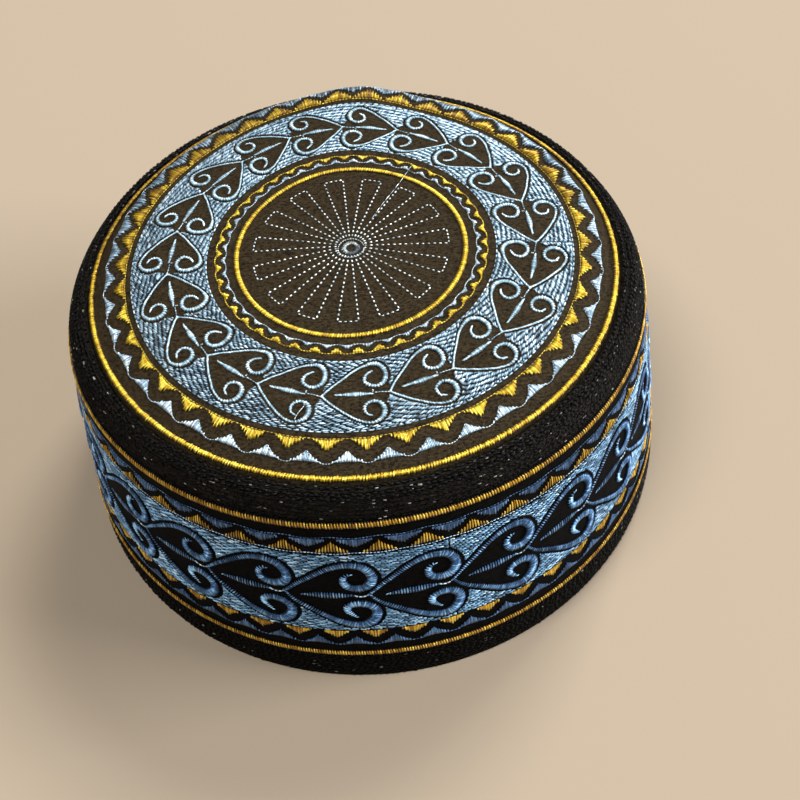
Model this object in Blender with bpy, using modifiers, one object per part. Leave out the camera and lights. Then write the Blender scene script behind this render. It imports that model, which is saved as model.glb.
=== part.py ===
"""Embroidered prayer cap: a stiff round cap with a slightly domed top and a wall that widens downwards.

Units are metres, +Z is up. The origin is the middle of the rim's plane, and -Y is the front.
"""

import math

import bpy

# Driving sizes of the cap
RIM_RADIUS = 0.0941
WALL = 0.0022
SEAM_GAP = 0.0003
STEPS = 112
SHARP_ANGLE = math.radians(40)
MERGE_DISTANCE = 0.00005
RIM_CHAMFER = 0.0005

# Outer surface from the middle of the top to the rim: (radius, height)
OUTER_PROFILE = (
    (0.0000, 0.0825),
    (0.0160, 0.0822),
    (0.0330, 0.0817),
    (0.0450, 0.0815),
    (0.0560, 0.0809),
    (0.0650, 0.0792),
    (0.0710, 0.0776),
    (0.0742, 0.0768),
    (0.0765, 0.0762),
    (0.0784, 0.0762),
    (0.0800, 0.0757),
    (0.0814, 0.0745),
    (0.0825, 0.0729),
    (0.0836, 0.0702),
    (0.0861, 0.0556),
    (0.0884, 0.0410),
    (0.0906, 0.0265),
    (0.0928, 0.0118),
    (RIM_RADIUS, 0.0),
)

# Rows of the outer profile at which the seams lie
CROWN_SEAM = 8
SIDE_SEAM = 13
HEM_SEAM = 17

# The back of the top stands a little higher than its front, as a soft bulge
BULGE_HEIGHT = 0.0023
BULGE_ANGLE = math.radians(94)
BULGE_SPREAD = math.radians(29)
BULGE_STARTS = 0.0040
BULGE_FULL = 0.0690
BULGE_FADES = 0.0690
BULGE_ENDS = 0.0820

# Round the back the top stays level further out and then steps down to an edge that stands lower and further in
FOLD_RISE = 0.0016
FOLD_DROP = 0.0008
FOLD_TUCK = 0.0008
FOLD_ANGLE = math.radians(87)
FOLD_FULL_TURN = math.radians(60)
FOLD_END_TURN = math.radians(112)
FOLD_RISES_AT = (0.0620, 0.0710)
FOLD_FALLS_AT = (0.0710, 0.0742)
FOLD_TUCKS_AT = (0.0755, 0.0820)
FOLD_FULL_HEIGHT = 0.0720

# Colour, roughness
CLOTH_BROWN = (0.028, 0.020, 0.017, 1.0), 0.75
EDGE_BLACK = (0.010, 0.010, 0.011, 1.0), 0.70
SIDE_BLUE = (0.150, 0.240, 0.400, 1.0), 0.55
HEM_BLACK = (0.012, 0.011, 0.011, 1.0), 0.75


def clear_scene():
    for item in list(bpy.data.objects):
        bpy.data.objects.remove(item)


def new_collection(name):
    collection = bpy.data.collections.new(name)
    bpy.context.scene.collection.children.link(collection)
    return collection


def cloth_material(name, look):
    colour, roughness = look
    material = bpy.data.materials.new(name)
    material.use_nodes = True
    shader = material.node_tree.nodes["Principled BSDF"]
    shader.inputs["Base Color"].default_value = colour
    shader.inputs["Roughness"].default_value = roughness
    shader.inputs["Metallic"].default_value = 0.0
    return material


def smooth_step(low, high, value):
    share = min(max((value - low) / (high - low), 0.0), 1.0)
    return share * share * (3.0 - 2.0 * share)


def turned_from(x, y, angle):
    """The angle between a place in plan and a direction."""
    turn = math.atan2(y, x) - angle
    return abs(math.atan2(math.sin(turn), math.cos(turn)))


def bulge(x, y):
    """How far the back of the top is lifted, at a place in plan."""
    radius = math.hypot(x, y)
    round_the_cap = math.exp(-((turned_from(x, y, BULGE_ANGLE) / BULGE_SPREAD) ** 2))
    inside = smooth_step(BULGE_STARTS, BULGE_FULL, radius)
    outside = 1.0 - smooth_step(BULGE_FADES, BULGE_ENDS, radius)
    return BULGE_HEIGHT * round_the_cap * inside * outside


def folded(place):
    """Moves a place by the fold round the back, which fades down the wall to nothing at the rim."""
    x, y, z = place
    radius = math.hypot(x, y)
    share = 1.0 - smooth_step(FOLD_FULL_TURN, FOLD_END_TURN, turned_from(x, y, FOLD_ANGLE))
    share *= min(z / FOLD_FULL_HEIGHT, 1.0)
    lift = FOLD_RISE * smooth_step(*FOLD_RISES_AT, radius)
    lift -= (FOLD_RISE + FOLD_DROP) * smooth_step(*FOLD_FALLS_AT, radius)
    tuck = FOLD_TUCK * smooth_step(*FOLD_TUCKS_AT, radius)
    if tuck > 0.0:
        x -= x / radius * tuck * share
        y -= y / radius * tuck * share
    return x, y, z + lift * share


def inner_profile():
    """The outer profile moved inwards by the wall, with its corners mitred."""
    normals = [inward_normal(*stretch) for stretch in zip(OUTER_PROFILE, OUTER_PROFILE[1:])]
    mirrored_in_axis = (-normals[0][0], normals[0][1])
    mirrored_in_rim = (normals[-1][0], -normals[-1][1])
    before_and_after = zip([mirrored_in_axis] + normals, normals + [mirrored_in_rim])
    return [mitred(point, before, after) for point, (before, after) in zip(OUTER_PROFILE, before_and_after)]


def mitred(point, normal_before, normal_after):
    """The corner that lies one wall inside both stretches that meet at the point."""
    across = normal_before[0] + normal_after[0], normal_before[1] + normal_after[1]
    reach = 2.0 * WALL / (across[0] ** 2 + across[1] ** 2)
    return point[0] + across[0] * reach, point[1] + across[1] * reach


def inward_normal(start, end):
    run = math.hypot(end[0] - start[0], end[1] - start[1])
    return (end[1] - start[1]) / run, -(end[0] - start[0]) / run


def moved_towards(point, target, distance):
    run = math.hypot(target[0] - point[0], target[1] - point[1])
    share = distance / run
    return point[0] + (target[0] - point[0]) * share, point[1] + (target[1] - point[1]) * share


def section(first, last):
    """The wall's cross-section between two rows of the profile, drawn back from its seams by half a gap."""
    outer = list(OUTER_PROFILE[first:last + 1])
    inner = inner_profile()[first:last + 1]
    for line in (outer, inner):
        if first > 0:
            line[0] = moved_towards(line[0], line[1], SEAM_GAP / 2.0)
        if last < len(OUTER_PROFILE) - 1:
            line[-1] = moved_towards(line[-1], line[-2], SEAM_GAP / 2.0)
    return outer + inner[::-1]


def turned_object(name, points, closed):
    """A profile in the XZ plane with a Screw modifier that turns it about Z."""
    mesh = bpy.data.meshes.new(name)
    edges = [(i, i + 1) for i in range(len(points) - 1)]
    if closed:
        edges.append((len(points) - 1, 0))
    mesh.from_pydata([(r, 0.0, z) for r, z in points], edges, [])
    turned = bpy.data.objects.new(name, mesh)
    screw = turned.modifiers.new("Screw", "SCREW")
    screw.steps = STEPS
    screw.render_steps = STEPS
    screw.use_merge_vertices = True
    screw.merge_threshold = MERGE_DISTANCE
    return turned


def shaped(turned, collection, material):
    """Evaluates the modifiers, shapes the back by the bulge and the fold and keeps the result as a plain mesh."""
    collection.objects.link(turned)
    bpy.context.view_layer.update()
    evaluated = turned.evaluated_get(bpy.context.evaluated_depsgraph_get())
    mesh = bpy.data.meshes.new_from_object(evaluated)
    for vertex in mesh.vertices:
        lift = bulge(vertex.co.x, vertex.co.y)
        vertex.co = folded(vertex.co)
        vertex.co.z += lift
    turned.modifiers.clear()
    turned.data = mesh
    mesh.name = turned.name
    mesh.materials.clear()
    mesh.materials.append(material)
    mesh.shade_smooth()
    mesh.set_sharp_from_angle(angle=SHARP_ANGLE)
    return turned


def crown_panel(collection):
    """Round, slightly domed top panel. Its section starts and ends on the axis."""
    panel = turned_object("crown_panel", section(0, CROWN_SEAM), False)
    return shaped(panel, collection, cloth_material("crown_cloth", CLOTH_BROWN))


def edge_roll(collection):
    """Rounded stitched edge between the top and the wall."""
    roll = turned_object("edge_roll", section(CROWN_SEAM, SIDE_SEAM), True)
    return shaped(roll, collection, cloth_material("edge_cloth", EDGE_BLACK))


def side_band(collection):
    """Wall that widens downwards."""
    band = turned_object("side_band", section(SIDE_SEAM, HEM_SEAM), True)
    return shaped(band, collection, cloth_material("side_cloth", SIDE_BLUE))


def hem_band(collection):
    """Stitched band at the foot of the wall. Its bottom is the flat rim that the cap stands on."""
    last = len(OUTER_PROFILE) - 1
    outline = section(HEM_SEAM, last)
    outer_corner = outline.index(OUTER_PROFILE[last])
    outline[outer_corner] = (RIM_RADIUS, RIM_CHAMFER)
    outline.insert(outer_corner + 1, (RIM_RADIUS - RIM_CHAMFER, 0.0))
    return shaped(turned_object("hem_band", outline, True), collection, cloth_material("hem_cloth", HEM_BLACK))


def build():
    clear_scene()
    collection = new_collection("prayer_cap")
    for make in (crown_panel, edge_roll, side_band, hem_band):
        make(collection)


build()
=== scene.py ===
"""Looks of the embroidered prayer cap: its cloth, embroidery threads and black machine stitching.

The needlework is laid out flat in millimetres and then carried onto the cap's surface. The crown is laid out
in plan, and the wall as a strip that runs round the cap. Stitches are small closed threads, joined by kind.
"""

import math
from math import radians

import bpy
import numpy as np
from mathutils import Matrix, Vector


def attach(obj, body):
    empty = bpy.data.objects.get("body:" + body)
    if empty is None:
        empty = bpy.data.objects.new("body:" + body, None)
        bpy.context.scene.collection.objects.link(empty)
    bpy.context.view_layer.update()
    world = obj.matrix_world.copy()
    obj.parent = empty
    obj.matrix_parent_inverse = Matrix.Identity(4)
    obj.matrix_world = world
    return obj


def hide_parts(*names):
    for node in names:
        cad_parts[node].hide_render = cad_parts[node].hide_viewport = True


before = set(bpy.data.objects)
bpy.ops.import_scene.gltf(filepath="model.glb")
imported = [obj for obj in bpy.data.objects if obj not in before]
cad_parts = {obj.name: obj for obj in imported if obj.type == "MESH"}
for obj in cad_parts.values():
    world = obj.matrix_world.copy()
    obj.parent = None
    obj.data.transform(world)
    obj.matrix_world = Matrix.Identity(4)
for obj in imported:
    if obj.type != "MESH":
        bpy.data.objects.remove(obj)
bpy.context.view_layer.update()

MM = 0.001
TURN = 2.0 * math.pi

# Outer surface from the middle of the top to the rim, as in the frame: radius and height
PROFILE = (
    (0.0, 82.5), (16.0, 82.2), (33.0, 81.7), (45.0, 81.5), (56.0, 80.9), (65.0, 79.2), (71.0, 77.6),
    (74.2, 76.8), (76.5, 76.2), (78.4, 76.2), (80.0, 75.7), (81.4, 74.5), (82.5, 72.9), (83.6, 70.2),
    (86.1, 55.6), (88.4, 41.0), (90.6, 26.5), (92.8, 11.8), (94.1, 0.0),
)

# Rows of the profile at which the seams lie, the cloth's thickness and the seams' gaps
CROWN_SEAM = 8
SIDE_SEAM = 13
HEM_SEAM = 17
WALL = 2.2
SEAM_GAP = 0.3

# How much of a gap the cloth closes on each side of a seam
SEAM_CLOSED = 0.1

# How far the cloth lies inside the frame's surface, so that the needlework's tops lie about on it
SINK = 0.25

# Soft rises at the back of the top: height, angle, spread and the radii of start, full height, fading and end
BULGE = (2.3, radians(94), radians(29), (4.0, 69.0, 69.0, 82.0))
PUCKER = (2.3, radians(81.5), radians(12), (56.0, 68.0, 71.0, 78.0))

# Round the back the top stays level further out and then steps down to a lower edge, a little further in
FOLD_RISE = 1.6
FOLD_DROP = 0.8
FOLD_TUCK = 0.8
FOLD_ANGLE = radians(87)
FOLD_FULL_TURN = radians(60)
FOLD_END_TURN = radians(112)
FOLD_RISES_AT = (62.0, 71.0)
FOLD_FALLS_AT = (71.0, 74.2)
FOLD_TUCKS_AT = (75.5, 82.0)
FOLD_FULL_HEIGHT = 72.0

# Camera, in cap units of 75 mm
CAP_UNIT = 75.0 * MM
CAMERA_ELEVATION = radians(51.39)
CAMERA_ROLL = radians(7.66)
CAMERA_DISTANCE = 4.61 * CAP_UNIT
AIM_HEIGHT = 0.3 * CAP_UNIT
FRAME_PIXELS = 800
FOCAL_PIXELS = 1050.3
AIM_PIXEL = (367.6, 375.1)
SENSOR_WIDTH = 36.0


def smooth_step(low, high, value):
    share = np.clip((value - low) / (high - low), 0.0, 1.0)
    return share * share * (3.0 - 2.0 * share)


def turned_from(angle, middle):
    return np.abs(np.angle(np.exp(1j * (angle - middle))))


def back_share(angle):
    """1 round the back of the cap and 0 in front."""
    return 1.0 - smooth_step(FOLD_FULL_TURN, FOLD_END_TURN, turned_from(angle, FOLD_ANGLE))


# The cap's surface

class CapSurface:
    """The outer surface, by the distance along its profile from the middle of the top and the angle round."""

    STEP = 0.1
    SOFTNESS = 0.9

    def __init__(self):
        rows = np.array(PROFILE)
        mirrored = rows[1:3][::-1] * (-1.0, 1.0)
        below = rows[-1] + (rows[-1] - rows[-2]) / 2.0
        line = np.vstack([mirrored, rows, below])
        run = np.concatenate([[0.0], np.cumsum(np.hypot(*np.diff(line, axis=0).T))])
        run -= run[2]
        self.knots = run[2:-1]
        self.end = self.knots[-1]
        reach = 4.0 * self.SOFTNESS
        fine = np.arange(-reach, self.end + reach, self.STEP)
        weights = np.exp(-0.5 * (np.arange(-reach, reach + self.STEP, self.STEP) / self.SOFTNESS) ** 2)
        weights /= weights.sum()
        radius = np.convolve(np.interp(fine, run, line[:, 0]), weights, "same")
        height = np.convolve(np.interp(fine, run, line[:, 1]), weights, "same")
        keep = (fine > -self.STEP) & (fine < self.end + self.STEP)
        self.run = fine[keep]
        self.radius = np.maximum(radius[keep], 0.0)
        self.height = height[keep]
        slope_r = np.gradient(radius, fine)[keep]
        slope_z = np.gradient(height, fine)[keep]
        size = np.hypot(slope_r, slope_z)
        self.normal_r = -slope_z / size
        self.normal_z = slope_r / size
        top = self.run <= self.knots[SIDE_SEAM]
        self.top_radius = self.radius[top]
        self.top_run = self.run[top]

    def shaped(self, radius, height, angle):
        """Moves places of the round profile by the bulge, the pucker and the fold."""
        share = back_share(angle) * np.clip(height / FOLD_FULL_HEIGHT, 0.0, 1.0)
        lift = FOLD_RISE * smooth_step(*FOLD_RISES_AT, radius)
        lift -= (FOLD_RISE + FOLD_DROP) * smooth_step(*FOLD_FALLS_AT, radius)
        lift = lift * share
        for rise, middle, spread, (starts, full, fades, ends) in (BULGE, PUCKER):
            reach = smooth_step(starts, full, radius) * (1.0 - smooth_step(fades, ends, radius))
            lift += rise * np.exp(-((turned_from(angle, middle) / spread) ** 2)) * reach
        return radius - FOLD_TUCK * share * smooth_step(*FOLD_TUCKS_AT, radius), height + lift

    def place(self, run, angle, lift):
        """Points in metres, at a distance along the profile, an angle round and a height off the surface."""
        radius = np.interp(run, self.run, self.radius)
        radius, height = self.shaped(radius, np.interp(run, self.run, self.height), angle)
        lift = lift - SINK
        out = radius + np.interp(run, self.run, self.normal_r) * lift
        up = height + np.interp(run, self.run, self.normal_z) * lift
        return np.stack([out * np.cos(angle), out * np.sin(angle), up], axis=-1) * MM

    def run_at_radius(self, radius):
        return np.interp(radius, self.top_radius, self.top_run)


cap = CapSurface()

# The radius at which the wall's strip is laid out
WALL_RADIUS = 88.2

# The needlework of the crown's middle is sewn a little nearer the front. This fades out between two radii
CROWN_OFFSET = np.array([0.05, -0.70])
OFFSET_FADES = 54.0
OFFSET_ENDS = 64.5

# The wall's needlework lies lower at the cap's left and right than in front
WALL_SAG = 0.5
WALL_SIDE_SAG = 1.1
SAG_PHASE = radians(87.0)


def crown_chart(flat, lift):
    """Carries points of the crown's plan onto the cap."""
    share = 1.0 - smooth_step(OFFSET_FADES, OFFSET_ENDS, np.hypot(flat[..., 0], flat[..., 1]))
    flat = flat + CROWN_OFFSET * share[..., None]
    radius = np.hypot(flat[..., 0], flat[..., 1])
    angle = np.arctan2(flat[..., 1], flat[..., 0])
    return cap.place(cap.run_at_radius(radius), angle, lift)


def wall_chart(flat, lift):
    """Carries points of the wall's strip, along and up from the rim, onto the cap."""
    angle = flat[..., 0] / WALL_RADIUS
    sag = WALL_SAG + WALL_SIDE_SAG * np.sin(angle + SAG_PHASE) ** 2
    return cap.place(cap.end - flat[..., 1] + sag, angle, lift)


def ring_to_plan(along, radius):
    """Points of a ring, by angle and radius, in the crown's plan."""
    return np.stack([radius * np.cos(along), radius * np.sin(along)], axis=-1)


# Meshes and materials

def make_object(name, points, faces, material, slot, replaces=()):
    """A smooth-shaded piece that rides on the cap. points are in metres, faces in blocks of one width."""
    mesh = bpy.data.meshes.new(name)
    loops = np.concatenate([block.ravel() for block in faces])
    widths = np.concatenate([np.full(len(block), block.shape[1]) for block in faces])
    starts = np.concatenate([[0], np.cumsum(widths)[:-1]])
    mesh.vertices.add(len(points))
    mesh.vertices.foreach_set("co", np.ascontiguousarray(points, np.float32).ravel())
    mesh.loops.add(len(loops))
    mesh.loops.foreach_set("vertex_index", loops.astype(np.int32))
    mesh.polygons.add(len(widths))
    mesh.polygons.foreach_set("loop_start", starts.astype(np.int32))
    mesh.polygons.foreach_set("loop_total", widths.astype(np.int32))
    mesh.update(calc_edges=True)
    mesh.validate()
    mesh.shade_smooth()
    mesh.materials.append(material)
    made = bpy.data.objects.new(name, mesh)
    bpy.context.scene.collection.objects.link(made)
    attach(made, "root")
    if replaces:
        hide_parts(*replaces)
    return made


class Nodes:
    """Short names for the shader nodes that the materials use."""

    def __init__(self, name):
        self.material = bpy.data.materials.new(name)
        self.material.use_nodes = True
        self.tree = self.material.node_tree
        self.shader = self.tree.nodes["Principled BSDF"]

    def add(self, kind, **settings):
        node = self.tree.nodes.new(kind)
        for key, value in settings.items():
            setattr(node, key, value)
        return node

    def link(self, source, target):
        self.tree.links.new(source, target)

    def position(self):
        return self.add("ShaderNodeTexCoord").outputs["Object"]

    def noise(self, scale, detail=2.0, source=None):
        node = self.add("ShaderNodeTexNoise")
        node.inputs["Scale"].default_value = scale
        node.inputs["Detail"].default_value = detail
        self.link(source or self.position(), node.inputs["Vector"])
        return node.outputs["Fac"]

    def attribute(self, name, output="Fac"):
        return self.add("ShaderNodeAttribute", attribute_name=name).outputs[output]

    def maths(self, operation, first, second=0.0):
        node = self.add("ShaderNodeMath", operation=operation)
        for socket, value in zip(node.inputs, (first, second)):
            if isinstance(value, (int, float)):
                socket.default_value = value
            else:
                self.link(value, socket)
        return node.outputs[0]

    def ramp(self, fac, *stops):
        node = self.add("ShaderNodeValToRGB")
        elements = node.color_ramp.elements
        while len(elements) < len(stops):
            elements.new(0.5)
        for element, (place, colour) in zip(elements, stops):
            element.position = place
            element.color = (*colour, 1.0)
        self.link(fac, node.inputs["Fac"])
        return node.outputs["Color"]

    def bump(self, height, strength, distance):
        node = self.add("ShaderNodeBump")
        node.inputs["Strength"].default_value = strength
        node.inputs["Distance"].default_value = distance
        self.link(height, node.inputs["Height"])
        self.link(node.outputs["Normal"], self.shader.inputs["Normal"])

    def finish(self, **values):
        for key, value in values.items():
            self.shader.inputs[key.replace("_", " ").title().replace("Ior", "IOR")].default_value = value
        return self.material


# A thread's shades: the part of each stitch's tone with its painted shade and highlights, the part of soft
# patches and the places of its colours
TONE_AND_PAINTED_LIGHT = 0.75
PATCH_SHADE = 0.35
SHADE_PLACES = (0.15, 0.55, 0.95)
TWIST_DEPTH = 0.05 * MM

# How threads shine
SHINE = ("roughness", "specular_ior_level", "metallic", "anisotropic", "sheen_weight")
SHINY = (0.34, 0.5, 0.4, 0.85, 0.05)
DULL = (0.5, 0.1, 0.0, 0.3, 0.0)
HIDDEN = (0.6, 0.1, 0.0, 0.3, 0.0)

# Weave of the cloth, and how much its streaks, grain and slanting ribs stand out
WEAVE_PITCH = 0.5 * MM
WEAVE_DEPTH = 0.18 * MM
STREAK_SHARE = 0.9
GRAIN_SHARE = 0.8
RIB_SHARE = 0.12
RIB_SLANT = 0.8


def thread_material(name, dark, middle, light, shine=SHINY):
    """Twisted thread: a shade per stitch from its tone and painted shade and highlights; gloss stretched
    across it.
    """
    nodes = Nodes(name)
    tone_and_light = nodes.maths("MULTIPLY", nodes.attribute("shade"), TONE_AND_PAINTED_LIGHT)
    patch = nodes.maths("MULTIPLY", nodes.noise(160.0), PATCH_SHADE)
    colour = nodes.ramp(nodes.maths("ADD", tone_and_light, patch), *zip(SHADE_PLACES, (dark, middle, light)))
    nodes.link(colour, nodes.shader.inputs["Base Color"])
    nodes.link(nodes.attribute("across", "Vector"), nodes.shader.inputs["Tangent"])
    nodes.bump(nodes.noise(5000.0, 1.0), 0.15, TWIST_DEPTH)
    return nodes.finish(sheen_roughness=0.4, **dict(zip(SHINE, shine)))


def cloth_material(name, base, fleck, stretch):
    """Woven cloth: fine slanting ribs, streaks along one set of threads and a little unevenness."""
    nodes = Nodes(name)
    place = nodes.add("ShaderNodeSeparateXYZ")
    nodes.link(nodes.position(), place.inputs[0])
    across = nodes.maths("ADD", place.outputs["X"], place.outputs["Y"])
    across = nodes.maths("ADD", across, nodes.maths("MULTIPLY", place.outputs["Z"], RIB_SLANT))
    ribs = nodes.maths("SINE", nodes.maths("MULTIPLY", across, TURN / WEAVE_PITCH))
    stretched = nodes.add("ShaderNodeVectorMath", operation="MULTIPLY")
    stretched.inputs[1].default_value = stretch
    nodes.link(nodes.position(), stretched.inputs[0])
    streaks = nodes.noise(0.9 / WEAVE_PITCH, 3.0, stretched.outputs[0])
    height = nodes.maths("MULTIPLY", streaks, STREAK_SHARE)
    for pattern, share in ((nodes.noise(1.7 / WEAVE_PITCH), GRAIN_SHARE), (ribs, RIB_SHARE)):
        height = nodes.maths("ADD", height, nodes.maths("MULTIPLY", pattern, share))
    colour = nodes.ramp(height, (0.70, base), (1.00, fleck))
    nodes.link(colour, nodes.shader.inputs["Base Color"])
    nodes.bump(height, 0.8, WEAVE_DEPTH)
    return nodes.finish(roughness=0.6, specular_ior_level=0.02)


# Cloths: colours of the weave's hollows and of its flecks, and the stretch of its streaks
ALONG_TOP = (0.5, 1.0, 1.0)
ROUND_WALL = (0.35, 0.35, 1.0)
CLOTHS = {
    "crown_cloth_look": ((0.003, 0.002, 0.001), (0.032, 0.0225, 0.0115), ALONG_TOP),
    "side_cloth_look": ((0.0003, 0.0003, 0.0003), (0.004, 0.004, 0.004), ROUND_WALL),
    "edge_cloth_look": ((0.0003, 0.0002, 0.0002), (0.014, 0.011, 0.008), ROUND_WALL),
    "hem_cloth_look": ((0.0003, 0.0002, 0.0002), (0.005, 0.004, 0.002), ROUND_WALL),
}

# Threads: colours of the darkest, middle and lightest stitches. Painted shade reaches towards the darkest,
# and painted highlights and glints towards the lightest
THREADS = {
    "blue_thread": ((0.002, 0.008, 0.024), (0.029, 0.092, 0.215), (0.40, 0.71, 1.00)),
    "deep_blue_thread": ((0.004, 0.012, 0.032), (0.038, 0.090, 0.19), (0.18, 0.32, 0.54)),
    "crown_ground_thread": ((0.004, 0.012, 0.024), (0.24, 0.385, 0.49), (0.90, 0.96, 1.00)),
    "side_ground_thread": ((0.005, 0.016, 0.036), (0.145, 0.305, 0.47), (0.86, 0.98, 1.00)),
    "underlay_and_shade_thread": ((0.001, 0.002, 0.004), (0.003, 0.006, 0.011), (0.005, 0.010, 0.018), HIDDEN),
    "scroll_thread": ((0.01, 0.03, 0.05), (0.26, 0.40, 0.48), (0.90, 0.97, 1.00)),
    "pale_thread": ((0.03, 0.06, 0.09), (0.35, 0.49, 0.60), (0.93, 0.98, 1.00)),
    "medallion_thread": ((0.09, 0.12, 0.15), (0.50, 0.57, 0.58), (0.98, 0.98, 0.93)),
    "yellow_thread": ((0.13, 0.050, 0.001), (0.52, 0.335, 0.003), (0.95, 0.79, 0.10)),
    # The wall's yellow: the crown's yellow thread painted darker and deeper, as painted shade
    "shaded_yellow_thread": ((0.06, 0.018, 0.0005), (0.42, 0.205, 0.001), (1.00, 0.72, 0.10)),
    "black_thread": ((0.0003, 0.0003, 0.0003), (0.004, 0.003, 0.002), (0.55, 0.52, 0.46), DULL),
}
MATERIALS = {name: cloth_material(name, *look) for name, look in CLOTHS.items()}
MATERIALS.update({name: thread_material(name, *look) for name, look in THREADS.items()})


# Cloth pieces

COLUMNS = 720

# Satin rings: radius on the crown and height up the wall
INNER_RING = 32.6
OUTER_RING = 75.0
UPPER_RING = 70.1
LOWER_RING = 13.4

# Dips in the crown's cloth beside the satin rings: radius, width and depth
CROWN_DIPS = ((INNER_RING - 1.2, 0.7, 0.15), (INNER_RING + 2.3, 0.6, 0.15), (OUTER_RING - 1.6, 0.8, 0.20))

# Rows of machine stitching in relief
EDGE_ROW_PITCH = 1.2
EDGE_ROW_DEPTH = 0.17
HEM_ROW_PITCH = 1.15
HEM_ROW_DEPTH = 0.10

# Lumps of stitched cloth: depth, and how fast two crossing sets of waves run down and round the cap
EDGE_LUMPS = ((0.08, 3.1, 167.0, 5.3, -211.0), (0.09, 1.7, -93.0, 2.3, 57.0))
HEM_LUMPS = ((0.05, 2.7, 131.0, 4.1, -173.0),)

# Creases of the edge: the first and last below its upper seam, and the second below the first
FIRST_CREASE = 1.9
SECOND_CREASE = 2.3
LAST_CREASE = 5.6


def shell(node, cloth, first_run, last_run, relief, rows, inner_rows=4, columns=COLUMNS, flat_rim=False):
    """A closed wall between two places of the profile, with a relief on its outside, in place of a solid."""
    angle = np.linspace(0.0, TURN, columns, endpoint=False)
    closed_top = first_run <= 0.0
    outer_run = np.linspace(first_run, last_run, rows)
    inner_run = np.linspace(last_run, first_run, inner_rows)
    if closed_top:
        outer_run = outer_run[1:]
        inner_run = inner_run[:-1]
    runs, turns = np.meshgrid(outer_run, angle, indexing="ij")
    outer = cap.place(runs, turns, relief(runs, turns))
    runs, turns = np.meshgrid(inner_run, angle, indexing="ij")
    inner = cap.place(runs, turns, -WALL)
    if flat_rim:
        outer[-1, :, 2] = 0.0
        inner[0, :, 2] = 0.0
    rings = np.concatenate([outer, inner])
    count = len(rings)
    index = np.arange(count * columns).reshape(count, columns)
    right = np.roll(index, -1, axis=1)
    quads = np.stack([index[:-1], index[1:], right[1:], right[:-1]], axis=-1).reshape(-1, 4)
    points = rings.reshape(-1, 3)
    if closed_top:
        pole = np.zeros(1)
        top, bottom = len(points), len(points) + 1
        poles = [cap.place(pole, pole, lift) for lift in (relief(pole, pole), pole - WALL)]
        points = np.concatenate([points, *poles])
        faces = [quads, np.concatenate([
            np.stack([np.full(columns, top), index[0], right[0]], axis=-1),
            np.stack([np.full(columns, bottom), right[-1], index[-1]], axis=-1),
        ])]
    else:
        joint = np.stack([index[-1], index[0], right[0], right[-1]], axis=-1)
        faces = [np.concatenate([quads, joint])]
    return make_object(node + "_look", points, faces, MATERIALS[cloth + "_look"], cloth, (node,))


def groove(value, centre, width, depth):
    return -depth * np.exp(-(((value - centre) / width) ** 2))


def lumps(run, angle, waves):
    return sum(d * np.sin(run * a + b * angle) * np.sin(run * e + f * angle) for d, a, b, e, f in waves)


def crown_relief(run, angle):
    """Dips beside the satin rings, a slight swelling and a fold down into the seam."""
    radius = np.interp(run, cap.run, cap.radius)
    dips = sum(groove(radius, *dip) for dip in CROWN_DIPS)
    swell = 0.048 * np.sin(9.0 * angle + 1.0) * smooth_step(40.0, 70.0, radius)
    return dips + swell + groove(run, cap.knots[CROWN_SEAM], 0.7, 0.7)


def edge_relief(run, angle):
    """Uneven rows of machine stitching, creases and a fold into each seam."""
    first, last = cap.knots[CROWN_SEAM], cap.knots[SIDE_SEAM]
    wander = 0.35 * np.sin(5.0 * angle) + 0.2 * np.sin(13.0 * angle + 1.0)
    rows = EDGE_ROW_DEPTH * np.sin((run + wander - first) / EDGE_ROW_PITCH * TURN)
    crease = first + FIRST_CREASE + 0.25 * np.sin(7.0 * angle + 0.6)
    folds = groove(run, first, 0.6, 0.8) + groove(run, last, 0.5, 0.5)
    folds += groove(run, crease + 0.45, 0.35, 0.5) - groove(run, crease, 0.25, 0.25)
    folds += groove(run, crease + SECOND_CREASE + 0.3 * np.sin(11.0 * angle), 0.35, 0.3)
    folds += groove(run, first + LAST_CREASE, 0.4, 0.2)
    return rows + lumps(run, angle, EDGE_LUMPS) + folds


def side_relief(run, angle):
    """A fold into each seam."""
    first, last = cap.knots[SIDE_SEAM], cap.knots[HEM_SEAM]
    return groove(run, first, 0.5, 0.5) + groove(run, last, 0.5, 0.4)


def hem_relief(run, angle):
    """Rows of machine stitching down to the rim, and a fold into the seam."""
    first = cap.knots[HEM_SEAM]
    wander = 0.3 * np.sin(7.0 * angle)
    rows = HEM_ROW_DEPTH * np.sin((run - first) / HEM_ROW_PITCH * TURN + wander)
    above_rim = smooth_step(cap.end, cap.end - 1.0, run)
    return (rows + lumps(run, angle, HEM_LUMPS)) * above_rim + groove(run, first, 0.5, 0.4)


def cloth_pieces():
    """The four cloth pieces, each drawn back a little from its seams."""
    crown_seam, side_seam, hem_seam = (cap.knots[row] for row in (CROWN_SEAM, SIDE_SEAM, HEM_SEAM))
    back = SEAM_GAP / 2.0 - SEAM_CLOSED
    shell("crown_panel", "crown_cloth", 0.0, crown_seam - back, crown_relief, 70, columns=480)
    shell("edge_roll", "edge_cloth", crown_seam + back, side_seam - back, edge_relief, 50)
    shell("side_band", "side_cloth", side_seam + back, hem_seam - back, side_relief, 30, columns=360)
    shell("hem_band", "hem_cloth", hem_seam + back, cap.end, hem_relief, 44, inner_rows=3, flat_rim=True)


# Stitches

# A stitch's arch is full from this length. Its sides are painted darker than its top by this share of depth,
# as painted shade
FULL_ARCH_LENGTH = 1.2
SIDE_SHADE = 0.2

# Satin columns, whose stitches slant where they are narrow
RAGGED = 0.04
LONG_REACH = 0.09
SHORT_REACH = -0.07
SLANTS_UNDER = 0.9
MOST_SLANT = 0.45
# The share of a column's length, towards its end, over which its painted highlight grows
CURL_HIGHLIGHT_RANGE = (0.70, 0.95)

# Satin rings, in shares of the step from one stitch to the next
ZIGZAG_LEAN = 0.32
UNEVEN_LEAN = 0.08


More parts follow.
